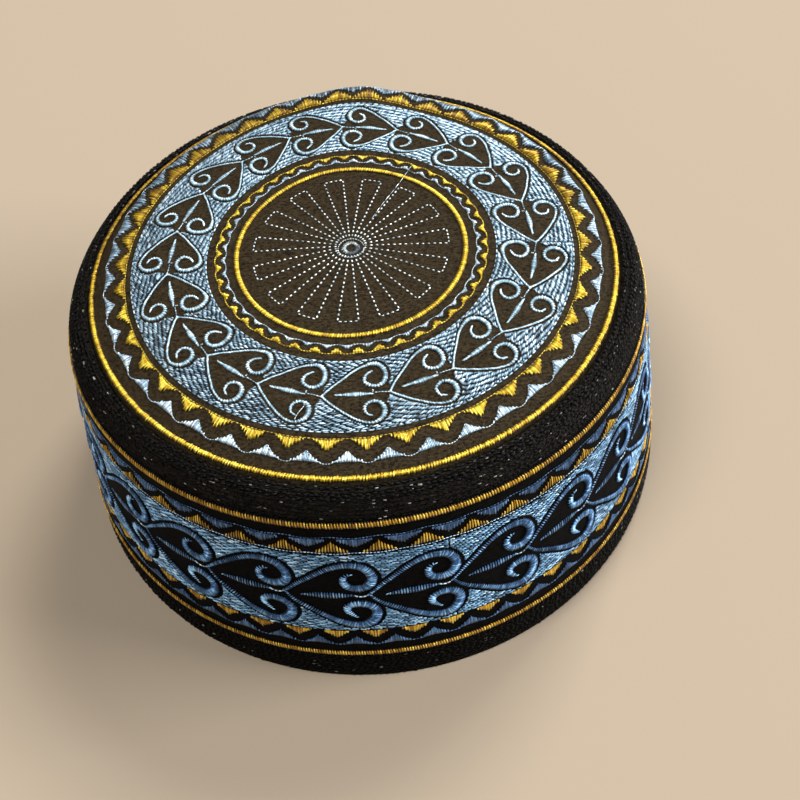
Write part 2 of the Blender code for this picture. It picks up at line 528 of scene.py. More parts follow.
class Needle:
    """Gathers stitches of one thread on one chart, then makes them as one piece."""

    def __init__(self, name, chart, seed, thread, slot=None):
        self.name = name
        self.chart = chart
        self.material = MATERIALS[thread]
        self.slot = slot or thread
        self.random = np.random.default_rng(seed)
        self.blocks = []

    def sew(self, starts, ends, width, thickness, base=0.05, arch=0.0, shares=(0.14, 0.5, 0.86), depth=0.5,
            tone=0.0, lit_end=0.0, spread=0.65):
        """Adds stitches from starts to ends, with a ring of three points at each of the shares.

        arch is how far a stitch's middle stands above its ends, and depth how much darker its ends and sides
        are painted, as painted shade where the thread dips into the cloth. tone makes it lighter or darker
        and carries the painted shade and highlights that callers give, lit_end paints its end lighter than
        its start as a painted highlight, and spread makes the stitches differ.
        """
        count = len(starts)
        along = ends - starts
        length = np.maximum(np.linalg.norm(along, axis=1, keepdims=True), 1e-6)
        half = np.stack([-along[:, 1], along[:, 0]], axis=-1) / length * width / 2.0
        arch = arch * np.minimum(length[:, 0] / FULL_ARCH_LENGTH, 1.0)
        base = np.full(count, base)
        flats = [starts]
        lifts = [base]
        # Painted shade darkens each stitch's ends and sides, and a painted highlight lightens it towards one
        # end
        shades = [-depth - lit_end / 2.0]
        for share in shares:
            middle = starts + along * share
            level = base + arch * (1.0 - (2.0 * share - 1.0) ** 2) ** 0.5
            flats += [middle + half, middle, middle - half]
            lifts += [level, level + thickness, level]
            shade = lit_end * (share - 0.5) - depth * abs(2.0 * share - 1.0) ** 2
            side = shade - SIDE_SHADE * depth
            shades += [side, shade, side]
        flats.append(ends)
        lifts.append(base)
        shades.append(lit_end / 2.0 - depth)
        tones = 1.0 - spread * self.random.random(count)[:, None] + np.array(shades) + tone
        self.blocks.append((np.stack(flats, axis=1), np.stack(lifts, axis=1), tones, len(shares)))

    def finish(self):
        """Makes the piece, with each point's shade and the direction across its thread."""
        points, triangles, quads, shades, across = [], [], [], [], []
        offset = 0
        for flats, lifts, tones, rings in self.blocks:
            count, size = lifts.shape
            placed = self.chart(flats, lifts)
            sideways = placed[:, 1] - placed[:, 3]
            sideways /= np.linalg.norm(sideways, axis=1, keepdims=True)
            points.append(placed.reshape(-1, 3))
            across.append(np.repeat(sideways, size, axis=0))
            shades.append(tones.ravel())
            first = (offset + np.arange(count) * size)[:, None, None]
            last = 3 * rings - 2
            end = size - 1
            tips = [(0, 2, 1), (0, 3, 2), (0, 1, 3)]
            tips += [(last, last + 1, end), (last + 1, last + 2, end), (last + 2, last, end)]
            sides = []
            for ring in range(rings - 1):
                a = 1 + 3 * ring
                b = a + 3
                sides += [(a, a + 1, b + 1, b), (a + 1, a + 2, b + 2, b + 1), (a + 2, a, b, b + 2)]
            triangles.append((first + np.array(tips)).reshape(-1, 3))
            quads.append((first + np.array(sides)).reshape(-1, 4))
            offset += count * size
        made = make_object(
            self.name, np.concatenate(points), [np.concatenate(quads), np.concatenate(triangles)],
            self.material, self.slot,
        )
        layer = made.data.attributes.new("shade", "FLOAT", "POINT")
        layer.data.foreach_set("value", np.concatenate(shades).astype(np.float32))
        layer = made.data.attributes.new("across", "FLOAT_VECTOR", "POINT")
        layer.data.foreach_set("vector", np.concatenate(across).astype(np.float32).ravel())


def resampled(path, spacing):
    """Points an even distance apart along a path. Columns after the first two are carried along."""
    steps = np.linalg.norm(np.diff(path[:, :2], axis=0), axis=1)
    run = np.concatenate([[0.0], np.cumsum(steps)])
    count = max(int(round(run[-1] / spacing)), 2)
    at = np.linspace(0.0, run[-1], count + 1)
    return np.stack([np.interp(at, run, column) for column in path.T], axis=-1)


CURVE_STEPS = 8


def smooth_curve(table):
    """A smooth curve through the rows of a table, with the same number of steps from each row to the next."""
    rows = np.array(table, float)
    rows = np.vstack([2.0 * rows[0] - rows[1], rows, 2.0 * rows[-1] - rows[-2]])
    t = np.linspace(0.0, 1.0, CURVE_STEPS, endpoint=False)[:, None]
    pieces = []
    for a, b, c, d in zip(rows, rows[1:], rows[2:], rows[3:]):
        bend = 2.0 * a - 5.0 * b + 4.0 * c - d
        twist = 3.0 * b - a - 3.0 * c + d
        pieces.append(0.5 * (2.0 * b + (c - a) * t + bend * t ** 2 + twist * t ** 3))
    pieces.append(rows[-2:-1])
    return np.concatenate(pieces)


def satin_column(needle, curve, carry, spacing, height, thread, solid_from=0.0, curl_highlight=0.0):
    """Satin along a curve: long stitches across it, with shorter and lower ones between them.

    The ones between are left out where the curve is narrower than solid_from, and lie lower, painted darker
    as painted shade. curl_highlight paints its end lighter, as a painted highlight.
    """
    line = resampled(curve, spacing)
    centre, width = line[:, :2], line[:, 2]
    forward = np.gradient(centre, axis=0)
    forward /= np.linalg.norm(forward, axis=1, keepdims=True)
    sideways = np.stack([-forward[:, 1], forward[:, 0]], axis=-1)
    between = np.arange(len(line)) % 2 == 1
    slant = forward * np.clip(SLANTS_UNDER - width, 0.0, MOST_SLANT)[:, None]
    reach = width / 2.0 + RAGGED * needle.random.standard_normal((2, len(line)))
    reach += np.where(between, SHORT_REACH, LONG_REACH)
    arch = height * np.clip(width / width.max(), 0.25, 1.0)
    left = carry(centre - sideways * reach[0][:, None] - slant)
    right = carry(centre + sideways * reach[1][:, None] + slant)
    lit = curl_highlight * smooth_step(*CURL_HIGHLIGHT_RANGE, np.linspace(0.0, 1.0, len(line)))[:, None]
    kept = between & (width >= solid_from)
    # Painted shade on the lower stitches between, and a painted highlight towards the column's end
    for chosen, level, tone in ((~between, 0.05, -0.05), (kept, 0.02, -0.22)):
        tones = tone + lit[chosen]
        needle.sew(left[chosen], right[chosen], thread, 0.14, level, arch[chosen], tone=tones, spread=0.45)


def satin_ring(needle, place, middle, width, height, periods, rough, thread, lit_end=0.0, back_shade=0.0, back=-0.18):
    """Zigzag satin round the cap. place gives the chart's point for an angle and a radius or a height.

    back_shade is how much darker it is painted behind the cap, as painted shade, and back the tone of the
    stitches that run back, which lie lower and are painted darker, as painted shade.
    """
    count = 2 * periods
    step = TURN / count
    returning = np.arange(count) % 2 == 1
    angle = np.arange(count) * step
    lean = np.where(returning, ZIGZAG_LEAN, -ZIGZAG_LEAN)
    lean = (lean + UNEVEN_LEAN * needle.random.standard_normal(count)) * step
    lower = -width / 2.0 + rough * needle.random.standard_normal(count)
    upper = width / 2.0 + rough * needle.random.standard_normal(count)
    starts, ends = place(angle - lean, middle + lower), place(angle + lean, middle + upper)
    # Painted light: raised stitches that run out lighter, lower ones that run back darker, all darker at the
    # back
    for chosen, level, tone in ((~returning, 0.06, 0.10), (returning, 0.0, back)):
        tones = tone - back_shade * back_share(angle[chosen])[:, None]
        needle.sew(starts[chosen], ends[chosen], thread, 0.16, level, height, tone=tones, lit_end=lit_end)


def running_line(needle, path, pitch, dash_share, width=0.30, thickness=0.15, base=0.06, arch=0.08):
    """Separate stitches along a path."""
    ends = resampled(path, pitch)
    step = np.diff(ends, axis=0)
    starts = ends[:-1] + step * (1.0 - dash_share) / 2.0
    needle.sew(starts, starts + step * dash_share, width, thickness, base, arch)


# Borders of scroll hearts. Places are in millimetres from a heart's tip, along the border and across it.

class Border:
    """A chain of hearts round the cap, and the places between low and high that ground stitches fill.

    A heart's inside ends at the rows in mouth of its two curves. The ground keeps a margin from the curves.
    """

    # Steps of the grid of taken places, and along the ground's rows
    GRID = 0.12
    FINE = 0.15

    # Ground stitches. Each row's breaks are shifted against the last row's by a share of a stitch
    SHORTEST = 0.5
    BRICK_SHIFT = 0.37
    WAVER = 0.09

    def __init__(self, pitch, count, low, high, upper, lower, mouth, margin):
        self.pitch = pitch
        self.around = pitch * count
        self.low = low
        self.high = high
        self.curves = [smooth_curve(table) for table in (upper, lower)]
        one_side, other_side = (curve[:row * CURVE_STEPS, :2] for curve, row in zip(self.curves, mouth))
        heart = np.concatenate([one_side, [[pitch, 0.0]], other_side[::-1]])
        xs = np.arange(0.0, pitch, self.GRID) + self.GRID / 2.0
        ys = np.arange(low, high, self.GRID) + self.GRID / 2.0
        grid = np.stack(np.meshgrid(xs, ys, indexing="ij"), axis=-1)
        self.taken = np.zeros(grid.shape[:2], bool)
        for shift in (-pitch, 0.0, pitch):
            moved = grid + (shift, 0.0)
            self.taken |= inside(heart, moved)
            for curve in self.curves:
                self.taken |= near(curve, margin, moved)

    def free(self, along, across):
        """Whether ground stitches may lie at these places."""
        column = np.clip(((along % self.pitch) / self.GRID).astype(int), 0, self.taken.shape[0] - 1)
        row = np.floor((across - self.low) / self.GRID).astype(int)
        within = (row >= 0) & (row < self.taken.shape[1])
        return within & ~self.taken[column, np.clip(row, 0, self.taken.shape[1] - 1)]

    def ground(self, lean, spacing, stitch, gap, random):
        """Fill stitches all round, in rows that fall by the angle that lean gives for a distance along."""
        along = np.arange(0.0, self.around, self.FINE)
        fall = np.tan(lean(along))
        drop = np.concatenate([[0.0], np.cumsum(fall[:-1]) * self.FINE])
        run = np.concatenate([[0.0], np.cumsum(np.hypot(1.0, fall[:-1])) * self.FINE])
        starts, ends = [], []
        for number, row in enumerate(np.arange(self.low + drop.min(), self.high + drop.max(), spacing)):
            free = self.free(along, row - drop)
            edges = np.flatnonzero(np.diff(np.concatenate([[False], free, [False]]).astype(int)))
            for begin, end in zip(edges[::2], edges[1::2]):
                low, high = run[begin], run[end - 1]
                if high - low < self.SHORTEST:
                    continue
                shift = number * self.BRICK_SHIFT
                first = math.ceil(low / stitch - shift) * stitch + shift * stitch
                breaks = np.arange(first, high, stitch)
                breaks = breaks + random.uniform(-0.25, 0.25, len(breaks))
                breaks = breaks[(breaks > low + self.SHORTEST) & (breaks < high - self.SHORTEST)]
                marks = np.concatenate([[low], breaks, [high]])
                offset = random.uniform(-self.WAVER, self.WAVER, len(marks) - 1)
                for found, place in ((starts, marks[:-1] + gap / 2.0), (ends, marks[1:] - gap / 2.0)):
                    x = np.interp(place, run, along)
                    tilt = random.uniform(-self.WAVER, self.WAVER, len(x))
                    found.append(np.stack([x, row - np.interp(x, along, drop) + offset + tilt], axis=-1))
        return np.concatenate(starts), np.concatenate(ends)


def inside(outline, places):
    """Whether each place lies inside a closed outline."""
    x, y = places[..., 0], places[..., 1]
    crossed = np.zeros(x.shape, bool)
    for (x0, y0), (x1, y1) in zip(outline, np.roll(outline, -1, axis=0)):
        if y0 == y1:
            continue
        between = (y0 > y) != (y1 > y)
        crossed ^= between & (x < x0 + (y - y0) * (x1 - x0) / (y1 - y0))
    return crossed


def near(curve, margin, places):
    """Whether each place lies within a margin of a satin column."""
    found = np.zeros(places.shape[:2], bool)
    for x, y, width in curve:
        found |= (places[..., 0] - x) ** 2 + (places[..., 1] - y) ** 2 < (width / 2.0 + margin) ** 2
    return found


# Crown embroidery

CROWN_HEARTS = 19
HEART_RADIUS = 52.5
HEART_TIP_RADIUS = 52.35
HEART_TIP_ANGLE = radians(-8.1)
CROWN_PITCH = TURN * HEART_RADIUS / CROWN_HEARTS

# The hearts are set a little unevenly: they crowd on one side
HEARTS_SHIFT = 0.0223
HEARTS_SHIFT_ANGLE = 0.48

# Columns: along, across, width
CROWN_OUTER_SCROLL = (
    (0.0, 0.0, 0.36), (0.8, 0.8, 0.36), (2.8, 2.5, 0.38), (4.6, 4.0, 0.40), (6.3, 5.3, 0.42),
    (8.0, 6.7, 0.46), (9.4, 7.6, 0.52), (10.9, 8.3, 0.65), (12.1, 8.5, 0.85), (13.3, 8.1, 1.05),
    (14.5, 7.0, 1.20), (15.0, 5.6, 1.35), (15.0, 4.2, 1.35), (14.3, 2.8, 1.20), (12.8, 2.1, 1.00),
    (11.4, 2.5, 0.90), (10.6, 3.5, 0.80), (10.6, 4.7, 0.65), (11.0, 5.7, 0.50), (11.9, 6.2, 0.35),
)
CROWN_INNER_SCROLL = (
    (0.0, 0.0, 0.36), (0.8, -1.2, 0.36), (2.5, -3.2, 0.38), (4.7, -5.1, 0.40), (6.3, -6.4, 0.42),
    (7.8, -7.5, 0.46), (9.4, -8.4, 0.52), (10.9, -9.0, 0.65), (12.3, -9.3, 0.95), (13.7, -9.5, 1.20),
    (15.1, -9.3, 1.40), (16.3, -8.5, 1.55), (17.1, -7.3, 1.65), (17.3, -6.0, 1.60), (17.1, -4.6, 1.50),
    (16.4, -3.4, 1.35), (15.4, -2.7, 1.20), (14.2, -2.4, 1.05), (12.8, -2.7, 1.05), (11.7, -3.4, 1.10),
    (11.1, -4.4, 1.10), (11.4, -5.6, 0.90), (12.1, -6.5, 0.60), (13.4, -7.2, 0.35),
)
CROWN_SPIKE = (
    (3.5, -0.5, 0.30), (5.5, -0.6, 0.80), (8.0, -0.5, 1.55), (9.6, -0.5, 1.45), (11.0, -0.4, 0.90),
    (12.7, -0.3, 0.35),
)
CROWN_LINK = ((13.4, -0.5), (15.0, -0.4), (16.3, -0.1), (CROWN_PITCH, 0.1))
CROWN_TIE = ((13.0, -0.7), (13.1, -1.5))
CROWN_BORDER = Border(
    CROWN_PITCH, CROWN_HEARTS, 41.4 - HEART_TIP_RADIUS, 62.8 - HEART_TIP_RADIUS,
    CROWN_OUTER_SCROLL, CROWN_INNER_SCROLL, (12, 14), 0.45,
)


def crown_carry(index):
    """A function that carries places of one heart into the crown's plan."""
    def carry(places):
        angle = HEART_TIP_ANGLE + index * TURN / CROWN_HEARTS + places[..., 0] / HEART_RADIUS
        angle = angle + HEARTS_SHIFT * np.cos(angle - HEARTS_SHIFT_ANGLE)
        return ring_to_plan(angle, HEART_TIP_RADIUS + places[..., 1])
    return carry


def crown_hearts():
    scrolls = Needle("crown_hearts", crown_chart, 11, "scroll_thread", "pale_thread")
    spike = smooth_curve(CROWN_SPIKE)
    for index in range(CROWN_HEARTS):
        carry = crown_carry(index)
        for curve in CROWN_BORDER.curves:
            satin_column(scrolls, curve, carry, spacing=0.375, height=0.52, thread=0.40, curl_highlight=0.12)
        satin_column(scrolls, spike, carry, spacing=0.32, height=0.28, thread=0.34)
        running_line(scrolls, carry(np.array(CROWN_LINK)), 0.9, 0.92)
        running_line(scrolls, carry(np.array(CROWN_TIE)), 0.6, 0.9, 0.4)
    scrolls.finish()


# The ground's rows run nearly level at one angle and fall more and more away from it
LEVEL_ANGLE = radians(242.0)
LEAST_FALL = radians(5.0)
FALL_GAIN = radians(55.0)
MOST_FALL = 0.8

# Running stitches bound the crown's ground at these radii
GROUND_CIRCLES = (41.3, 63.0)


def crown_lean(along):
    angle = HEART_TIP_ANGLE + along / HEART_RADIUS
    return np.minimum(LEAST_FALL + FALL_GAIN * np.abs(np.sin((angle - LEVEL_ANGLE) / 2.0)), MOST_FALL)


def crown_ground():
    """Fill stitches, with dark ones under them that are partly a real underlay and partly painted shade in
    the gaps.
    """
    carry = crown_carry(0)
    ground = Needle("crown_ground", crown_chart, 12, "crown_ground_thread", "blue_thread")
    starts, ends = CROWN_BORDER.ground(crown_lean, 0.50, 1.8, 0.16, ground.random)
    ground.sew(carry(starts), carry(ends), 0.42, 0.20, 0.06, 0.16, (0.12, 0.5, 0.88), depth=0.65, spread=0.75)
    for radius in GROUND_CIRCLES:
        circle = ring_to_plan(np.linspace(0.0, TURN, 400), radius)
        running_line(ground, circle, 1.9, 0.88, 0.40)
    ground.finish()
    # Painted shade: dark stitches under the ground, partly a real underlay and partly the shade in its gaps
    underlay_and_shade = Needle("crown_underlay_and_shade", crown_chart, 13, "underlay_and_shade_thread", "black_thread")
    starts, ends = CROWN_BORDER.ground(crown_lean, 0.60, 4.0, 0.0, underlay_and_shade.random)
    underlay_and_shade.sew(carry(starts), carry(ends), 0.85, 0.03, -0.02, shares=(0.05, 0.95), depth=0.0)
    underlay_and_shade.finish()


class Teeth:
    """A row of pointed satin teeth round the cap."""

    # In shares of a tooth's height
    WAVER = 0.04
    SHORTEST = 0.09

    def __init__(self, place, count, phase):
        self.place = place
        self.count = count
        self.pitch = TURN / count
        self.phase = phase

    def fill(self, needle, base, tip, span, count, sharpness, thread=0.38, splay=0.0, drop=0.1, tone=0.12,
             swell=0.0):
        """Stitches from base to the tooth's sides, which meet at tip. span is a tooth's share of the pitch.

        Every other one of the count falls short of the side by drop, lies lower and is painted darker by
        tone, as painted shade, and the others lighter. swell is how much larger the teeth are at the back,
        where they are painted darker too, as painted shade.
        """
        across = np.linspace(-1.0, 1.0, count)
        between = np.arange(count) % 2
        for index in range(self.count):
            middle = self.phase + index * self.pitch
            larger = swell * float(back_share(middle))
            reach = (1.0 - np.abs(across)) ** (sharpness * (1.0 - larger)) - between * drop
            spread = across * min(span * (1.0 + larger), 1.02) * self.pitch / 2.0
            angle = middle + spread
            share = reach + self.WAVER * needle.random.standard_normal(count)
            share = np.clip(share, 0.02, 1.05) * (1.0 + larger)
            foot = base - (tip - base) * self.WAVER * needle.random.random(count)
            low = self.place(angle, foot)
            high = self.place(angle - spread * splay * share, base + (tip - base) * share)
            # Painted light: the raised stitches are lighter, the lower ones between darker, the teeth at the
            # back darker still
            for chosen, shade in ((between == 0, tone / 2.0), (between == 1, -tone / 2.0)):
                kept = chosen & (share > self.SHORTEST)
                level = 0.05 + shade * 0.4
                needle.sew(low[kept], high[kept], thread, 0.16, level, 0.35, depth=0.35, tone=shade - larger)

    def line(self, needle, level, rise, power, pitch, width=0.28, part=1.0):
        """A thin line, at level by the teeth's middles and at level plus rise half way between them.

        part is the share of it that shows, around the places half way between.
        """
        for index in range(self.count):
            turn = (index + 0.5 + np.linspace(-0.5, 0.5, 25) * part) * self.pitch
            swing = np.abs(np.sin(self.count * turn / 2.0)) ** power
            running_line(needle, self.place(self.phase + turn, level + rise * swing), pitch, 0.84, width)


def facing_rows(place, count, phase):
    """Two rows of teeth that point at each other's gaps."""
    return Teeth(place, count, phase), Teeth(place, count, phase + math.pi / count)


TEETH = 42
OUTER_TEETH_PHASE = radians(-83.5)
INNER_TEETH_PHASE = radians(-84.0)


def crown_rings():
    """Two satin rings, and a yellow and a pale row of teeth beside each."""
    yellow = Needle("crown_yellow", crown_chart, 21, "yellow_thread")
    pale = Needle("crown_pale_teeth", crown_chart, 22, "pale_thread")
    satin_ring(yellow, ring_to_plan, INNER_RING, 1.60, 0.32, periods=281, rough=0.05, thread=0.42)
    satin_ring(yellow, ring_to_plan, OUTER_RING, 1.55, 0.62, periods=641, rough=0.09, thread=0.42, back_shade=0.30)
    yellow_teeth, pale_teeth = facing_rows(ring_to_plan, TEETH, OUTER_TEETH_PHASE)
    yellow_teeth.fill(yellow, 65.0, 68.5, 0.88, 23, 1.25, swell=0.28)
    yellow_teeth.line(yellow, 64.9, -0.1, 1.0, 1.1, 0.24)
    pale_teeth.fill(pale, 70.9, 67.9, 0.84, 23, 1.25, thread=0.36, swell=0.35)
    pale_teeth.line(pale, 68.0, 3.3, 0.95, 0.75, 0.26)
    yellow_teeth, pale_teeth = facing_rows(ring_to_plan, TEETH, INNER_TEETH_PHASE)
    yellow_teeth.fill(yellow, 38.5, 36.6, 0.64, 11, 0.9, thread=0.36)
    yellow_teeth.line(yellow, 38.3, 0.5, 1.0, 0.9, 0.36)
    pale_teeth.fill(pale, 35.8, 37.3, 0.64, 11, 0.9, thread=0.27)
    pale_teeth.line(pale, 36.1, -0.5, 1.0, 0.75, 0.26)
    yellow.finish()
    pale.finish()


# The medallion's wedges: half the angle that one takes, and the radii between which its sides run
WEDGES = 15
WEDGE_PHASE = radians(-0.9)
WEDGE_HALF = radians(5.9)
WEDGE_SIDES = (3.5, 27.9)
MEDALLION_OFFSET = (0.0, 0.15)

# Its centre: a ring of radial stitches, painted lightest at one angle as a painted highlight, in a circle
CENTRE_OFFSET = (0.1, -0.9)
CENTRE_STITCHES = 34
CENTRE_RING = (1.3, 2.7)
CENTRE_LIT = radians(125.0)
CENTRE_CIRCLE = 3.7

# Two loose ends of thread that lie on the top
LOOSE_THREAD = ((7.0, 9.4), (11.5, 16.2), (16.0, 22.3), (21.8, 31.2))
LOOSE_END = ((-19.7, -57.1), (-19.2, -56.0), (-18.1, -54.6), (-17.1, -53.5), (-16.8, -52.6))


def medallion_chart(flat, lift):
    """The medallion is sewn a little nearer the back than the rings round it."""
    return crown_chart(flat + MEDALLION_OFFSET, lift)


def wedges(pale):
    for index in range(WEDGES):
        middle = WEDGE_PHASE + index * TURN / WEDGES
        for side in (-WEDGE_HALF, WEDGE_HALF):
            running_line(pale, ring_to_plan(middle + side, np.array(WEDGE_SIDES)), 1.60, 0.52, 0.48, 0.24)
        turn = np.linspace(middle - WEDGE_HALF, middle + WEDGE_HALF, 8)
        running_line(pale, ring_to_plan(turn, WEDGE_SIDES[1]), 1.3, 0.62, 0.44, 0.22)


def centre(pale):
    inner, outer = CENTRE_RING
    turn = np.linspace(0.0, TURN, CENTRE_STITCHES, endpoint=False)
    starts = ring_to_plan(turn, inner)
    ends = ring_to_plan(turn + 0.12, outer + 0.15 * pale.random.standard_normal(CENTRE_STITCHES))
    # Painted light: the stitches are lighter on one side of the ring and darker on the other
    tones = 0.30 * np.cos(turn - CENTRE_LIT)[:, None] - 0.35
    pale.sew(starts + CENTRE_OFFSET, ends + CENTRE_OFFSET, 0.26, 0.16, 0.06, 0.15, tone=tones)
    circle = ring_to_plan(np.linspace(0.1, TURN - 0.1, 60), CENTRE_CIRCLE)
    running_line(pale, circle + CENTRE_OFFSET, 0.8, 0.8, 0.28, 0.20)


def medallion():
    pale = Needle("medallion_stitches", medallion_chart, 31, "medallion_thread", "pale_thread")
    wedges(pale)
    centre(pale)
    running_line(pale, np.array(LOOSE_THREAD), 3.0, 1.0, 0.14, 0.12, 0.30, 0.25)
    running_line(pale, smooth_curve(LOOSE_END), 0.8, 1.0, 0.20, 0.12, 0.50, 0.15)
    pale.finish()


# Wall embroidery

WALL_HEARTS = 25
WALL_PITCH = TURN * WALL_RADIUS / WALL_HEARTS
WALL_TIP_ANGLE = radians(-80.5)
WALL_TIP_HEIGHT = 41.7

# The hearts stand a little unevenly: a shift for all, and one and two waves round the cap
WALL_SHIFTS = (-0.6, 1.6, -1.2)

# How much wider the satin is than its tables say, and how much lighter the ends of the two scrolls are
# painted, as painted highlights
SATIN_WIDENING = 1.08
WALL_CURL_HIGHLIGHTS = (0.12, 0.30)

# Columns: along, across, width
WALL_UPPER_SCROLL = (
    (0.0, 0.0, 0.7), (0.6, 0.6, 0.8), (3.5, 3.9, 1.2), (5.2, 5.4, 1.2), (8.3, 8.2, 1.4),
    (10.5, 10.0, 1.5), (13.3, 11.7, 1.7), (15.7, 12.5, 1.9), (18.1, 12.7, 2.2), (20.4, 12.1, 2.4),
    (22.2, 10.5, 2.5), (23.4, 7.5, 2.6), (22.6, 4.4, 2.7), (19.8, 2.8, 2.5), (16.7, 3.7, 2.3),
    (15.7, 6.1, 2.0), (16.2, 7.8, 1.6), (17.2, 8.6, 1.0), (18.0, 8.6, 0.4),
)
WALL_LOWER_SCROLL = (
    (0.0, 0.0, 0.7), (0.5, -1.2, 0.7), (1.7, -2.8, 0.9), (2.9, -4.2, 1.1), (5.0, -5.8, 1.3),
    (7.1, -7.4, 1.4), (9.3, -9.1, 1.6), (11.4, -10.7, 1.8), (13.3, -12.0, 2.0), (15.7, -13.2, 2.3),
    (18.3, -13.9, 2.6), (20.7, -13.4, 2.8), (22.5, -11.6, 2.9), (23.5, -8.7, 2.7), (22.9, -6.0, 2.5),
    (20.5, -4.3, 2.4), (18.1, -4.2, 2.2), (16.3, -5.2, 2.1), (15.8, -6.9, 1.9), (16.6, -8.6, 1.4),
    (17.6, -9.8, 0.8), (18.1, -10.3, 0.4),
)
WALL_SPIKE = (
    (4.5, -0.8, 0.4), (6.6, -0.6, 1.3), (9.1, -0.45, 2.3), (12.1, -0.45, 2.7), (15.1, -0.4, 2.0),
    (18.1, -0.5, 0.5),
)
WALL_LINK = ((18.1, -0.5), (19.4, -1.2), (20.8, -1.2), (21.8, -0.5), (WALL_PITCH, 0.0))
WALL_BORDER = Border(
    WALL_PITCH, WALL_HEARTS, 25.0 - WALL_TIP_HEIGHT, 58.4 - WALL_TIP_HEIGHT,
    WALL_UPPER_SCROLL, WALL_LOWER_SCROLL, (11, 13), 0.85,
)


def wall_place(angle, height):
    """Points by angle and height in the wall's strip."""
    return np.stack(np.broadcast_arrays(angle * WALL_RADIUS, height), axis=-1)


def wall_carry(index):
    """A function that carries places of one heart into the wall's strip."""
    origin = np.array([WALL_TIP_ANGLE * WALL_RADIUS + index * WALL_PITCH, WALL_TIP_HEIGHT])

    def carry(places):
        strip = origin + places
        angle = strip[..., 0] / WALL_RADIUS
        constant, once, twice = WALL_SHIFTS
        shift = constant + once * np.cos(angle) + twice * np.cos(2.0 * angle - 0.2)
        return strip + np.stack([shift, np.zeros_like(shift)], axis=-1)
    return carry


def wall_hearts():
    scrolls = Needle("side_hearts", wall_chart, 41, "blue_thread")
    links = Needle("side_links", wall_chart, 42, "pale_thread")
    spike = smooth_curve(WALL_SPIKE)
    for index in range(WALL_HEARTS):
        carry = wall_carry(index)
        for curve, curl_highlight in zip(WALL_BORDER.curves, WALL_CURL_HIGHLIGHTS):
            wide = curve * (1.0, 1.0, SATIN_WIDENING)
            satin_column(scrolls, wide, carry, 0.375, height=0.80, thread=0.42, solid_from=1.7, curl_highlight=curl_highlight)
        satin_column(scrolls, spike, carry, 0.375, height=0.35, thread=0.48, solid_from=math.inf)
        running_line(links, carry(np.array(WALL_LINK)), 1.3, 0.92, 0.5)
    scrolls.finish()
    links.finish()


# The ground's rows fall more on one side of the cap than on the other: degrees of fall, swing and phase
MEAN_FALL = 7.0
FALL_SWING = 5.0
FALL_PHASE = 0.6


def wall_lean(along):
    return np.radians(MEAN_FALL + FALL_SWING * np.sin(along / WALL_RADIUS + FALL_PHASE))


def wall_ground():
    carry = wall_carry(0)
    ground = Needle("side_ground", wall_chart, 51, "side_ground_thread", "blue_thread")
    starts, ends = WALL_BORDER.ground(wall_lean, 0.50, 2.3, 0.14, ground.random)
    ground.sew(carry(starts), carry(ends), 0.48, 0.20, 0.05, 0.14, shares=(0.14, 0.86), spread=0.7)
    ground.finish()


UPPER_TEETH = 44
LOWER_TEETH = 53
UPPER_TEETH_PHASE = radians(-83.7)
LOWER_TEETH_PHASE = radians(-81.0)


def wall_rings():
    """Two satin rings, and a yellow and a blue row of teeth beside each."""
    yellow = Needle("side_yellow", wall_chart, 61, "shaded_yellow_thread", "yellow_thread")
    blue = Needle("side_blue_teeth", wall_chart, 62, "deep_blue_thread", "blue_thread")
    pale = Needle("side_pale_lines", wall_chart, 63, "pale_thread")
    # The wall's rings are painted lighter towards their upper ends and darker where stitches run back
    look = {"rough": 0.08, "thread": 0.40, "lit_end": 0.35, "back": -0.45}
    satin_ring(yellow, wall_place, UPPER_RING, 2.1, 0.50, periods=692, **look)
    satin_ring(yellow, wall_place, LOWER_RING, 2.0, 0.45, periods=765, **look)
    yellow_teeth, blue_teeth = facing_rows(wall_place, UPPER_TEETH, UPPER_TEETH_PHASE)
    yellow_teeth.fill(yellow, 59.8, 63.9, 0.80, 13, 0.95, thread=0.46, splay=0.25, drop=0.0, tone=0.0)
    yellow_teeth.line(pale, 59.0, 0.4, 2.0, 1.0, 0.30)
    blue_teeth.fill(blue, 64.9, 61.5, 0.84, 27, 0.9, thread=0.40)
    blue_teeth.line(blue, 65.1, 0.6, 2.0, 1.0, 0.26)
    yellow_teeth, blue_teeth = facing_rows(wall_place, LOWER_TEETH, LOWER_TEETH_PHASE)
    yellow_teeth.fill(yellow, 24.7, 21.0, 0.76, 21, 0.85, thread=0.40, splay=0.25)
    blue_teeth.fill(blue, 18.2, 22.1, 0.88, 25, 1.1, splay=0.3)
    blue_teeth.line(blue, 18.1, -0.3, 2.0, 1.0, 0.22, part=0.4)
    for needle in (yellow, blue, pale):
        needle.finish()


# Black machine stitching

def profile_chart(flat, lift):
    """Carries points, by distance round the wall and distance along the profile, onto the cap."""
    return cap.place(flat[..., 1], flat[..., 0] / WALL_RADIUS, lift)


def machine_rows(black, levels, pitch, share, width, tone, spread, thickness=0.16):
    """Rows of small stitches round the cap, at distances along the profile.

    share is a stitch's part of the pitch, tone paints a few lighter as painted glints, and spread is how far
    they stray.
    """
    for level in levels:
        radius = float(np.interp(level, cap.run, cap.radius))
        count = int(TURN * radius / pitch)
        angle = np.arange(count) + black.random.uniform() + 0.15 * black.random.standard_normal(count)
        angle = angle / count * TURN
        start = level + spread * black.random.standard_normal(count)
        end = start + 0.10 * black.random.standard_normal(count)
        # Painted glints: a few stitches are much lighter
        tones = tone * black.random.random(count)[:, None] ** 4 - 0.45
        starts, ends = wall_place(angle, start), wall_place(angle + share * TURN / count, end)
        black.sew(starts, ends, width, thickness, 0.12, 0.10, (0.2, 0.8), tone=tones)


